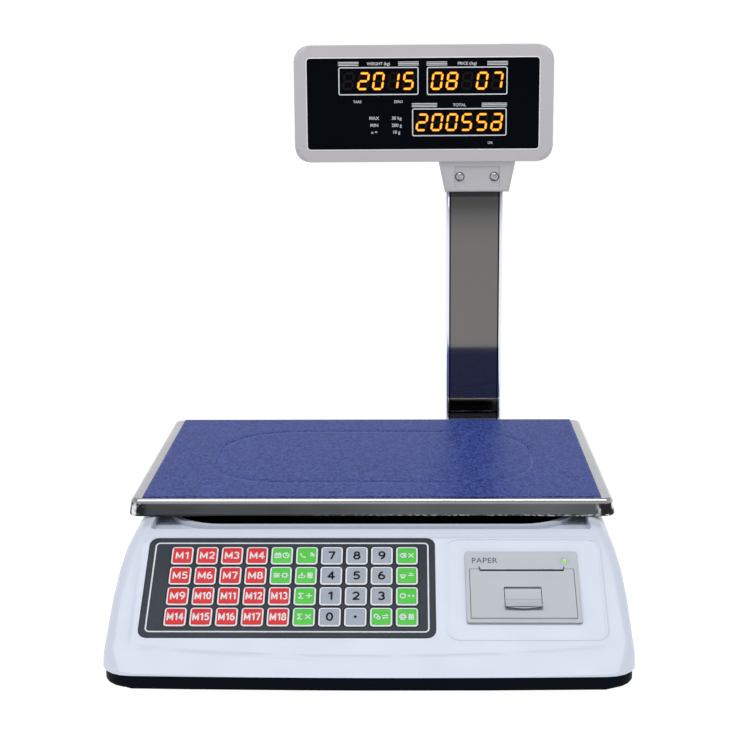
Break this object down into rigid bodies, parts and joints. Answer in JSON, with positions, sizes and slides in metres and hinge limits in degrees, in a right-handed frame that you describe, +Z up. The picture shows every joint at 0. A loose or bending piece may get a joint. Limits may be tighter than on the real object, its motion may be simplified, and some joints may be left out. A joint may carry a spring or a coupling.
{
  "type": "label printing scale",
  "caption": "Counter weighing scale with a lift-off platter, sloping keypad deck, slip printer with a hinged lid, and a two-sided display head on a steel pole.",
  "frame": {"origin": "middle of the footprint of the whole object, on the table", "axes": "+X is the operator's right, +Y is away from the operator towards the pole, +Z is up"},
  "size_m": [0.347, 0.4264, 0.4078],
  "materials": {
    "white_plastic": "white injection-moulded ABS, low gloss",
    "black_plastic": "black ABS, fine texture",
    "grey_plastic": "light grey ABS, fine spark texture",
    "printer_plastic": "warm light grey ABS",
    "stainless": "polished stainless sheet with a faint grain",
    "blue_film": "blue pebbled protective film",
    "keypad_print": "printed polyester membrane overlay",
    "rubber": "black rubber",
    "aluminium": "milled, clear anodised",
    "steel": "zinc plated",
    "black_paint": "black powder coat",
    "smoked_window": "polished smoked acrylic",
    "led_module": "seven-segment LED module, black face",
    "green_led": "green tinted LED body",
    "circuit_board": "green solder mask",
    "nylon": "natural nylon",
    "paper": "thermal paper",
    "vial_green": "clear acrylic over green fluid",
    "cable_grey": "grey PVC"
  },
  "bodies": {
    "base": {"top_housing": "white_plastic", "bottom_tray": "black_plastic", "battery": "black_paint", "battery_door": "black_plastic", "main_board": "circuit_board", "mains_transformer": "steel", "load_cell_spacer": "aluminium", "load_cell": "aluminium", "overload_stop": "steel", "platter_support": "black_paint", "support_pad_1": "rubber", "support_pad_2": "rubber", "support_pad_3": "rubber", "support_pad_4": "rubber", "keypad_switch_sheet": "circuit_board", "keypad_overlay": "keypad_print", "level_vial": "vial_green", "mains_inlet": "black_plastic", "switch_bezel": "black_plastic", "printer_frame": "printer_plastic", "lid_hinge_pin": "steel", "stepper_motor": "steel", "print_head": "aluminium", "tear_bar": "steel", "status_led": "green_led", "pole": "stainless", "pole_bracket": "black_paint", "pole_screw_left": "steel", "pole_screw_right": "steel", "head_front_case": "grey_plastic", "head_front_window": "smoked_window", "head_rear_case": "grey_plastic", "head_rear_window": "smoked_window", "neck_screw_left": "steel", "neck_screw_right": "steel", "display_board": "circuit_board", "display_cable": "cable_grey", "front_weight_digits": "led_module", "front_price_digits": "led_module", "front_total_digits": "led_module", "rear_weight_digits": "led_module", "rear_price_digits": "led_module", "rear_total_digits": "led_module"},
    "platter": {"platter": "stainless", "platter_film": "blue_film"},
    "power_rocker": {"power_rocker": "black_plastic"},
    "printer_lid": {"printer_lid": "printer_plastic"},
    "release_lever": {"release_lever": "printer_plastic"},
    "platen": {"platen_roller": "rubber", "platen_shaft": "steel", "platen_gear": "nylon"},
    "idler_gear": {"idler_gear": "nylon"},
    "motor_gear": {"motor_gear": "nylon"},
    "paper_roll": {"paper_roll": "paper"},
    "levelling_foot_1": {"levelling_foot_1": "rubber"},
    "levelling_foot_2": {"levelling_foot_2": "rubber"},
    "levelling_foot_3": {"levelling_foot_3": "rubber"},
    "levelling_foot_4": {"levelling_foot_4": "rubber"}
  },
  "joints": [
    {"name": "platter_lift", "type": "slide", "parent": "base", "child": "platter", "axis": [0, 0, 1], "range_m": [0, 0.06]},
    {"name": "printer_lid_open", "type": "hinge", "parent": "base", "child": "printer_lid", "pos_m": [0.1024, -0.17573, 0.04368], "axis": [1, 0, 0], "range_deg": [0, 85]},
    {"name": "release_lever_pull", "type": "hinge", "parent": "printer_lid", "child": "release_lever", "pos_m": [0.1024, -0.15734, 0.05415], "axis": [-1, 0, 0], "range_deg": [0, 22], "stiffness_Nm_per_rad": 0.03},
    {"name": "platen_spin", "type": "hinge", "parent": "printer_lid", "child": "platen", "pos_m": [0.1024, -0.14548, 0.05624], "axis": [1, 0, 0], "continuous": true},
    {"name": "idler_spin", "type": "hinge", "parent": "base", "child": "idler_gear", "pos_m": [0.1024, -0.13575, 0.05555], "axis": [1, 0, 0], "continuous": true},
    {"name": "motor_spin", "type": "hinge", "parent": "base", "child": "motor_gear", "pos_m": [0.1024, -0.12782, 0.05187], "axis": [1, 0, 0], "continuous": true},
    {"name": "paper_roll_spin", "type": "hinge", "parent": "base", "child": "paper_roll", "pos_m": [0.1024, -0.14063, 0.03599], "axis": [1, 0, 0], "continuous": true},
    {"name": "power_switch", "type": "hinge", "parent": "base", "child": "power_rocker", "pos_m": [-0.075, 0.1721, 0.044], "axis": [-1, 0, 0], "range_deg": [0, 16]},
    {"name": "levelling_foot_1_turn", "type": "hinge", "parent": "base", "child": "levelling_foot_1", "pos_m": [-0.142, -0.178, 0.004], "axis": [0, 0, 1], "range_deg": [-720, 720]},
    {"name": "levelling_foot_2_turn", "type": "hinge", "parent": "base", "child": "levelling_foot_2", "pos_m": [0.142, -0.178, 0.004], "axis": [0, 0, 1], "range_deg": [-720, 720]},
    {"name": "levelling_foot_3_turn", "type": "hinge", "parent": "base", "child": "levelling_foot_3", "pos_m": [-0.142, 0.14, 0.004], "axis": [0, 0, 1], "range_deg": [-720, 720]},
    {"name": "levelling_foot_4_turn", "type": "hinge", "parent": "base", "child": "levelling_foot_4", "pos_m": [0.142, 0.14, 0.004], "axis": [0, 0, 1], "range_deg": [-720, 720]}
  ],
  "couplings": [
    {"joint": "idler_spin", "follows": "platen_spin", "ratio": -0.69565},
    {"joint": "motor_spin", "follows": "platen_spin", "ratio": 1.3333}
  ]
}
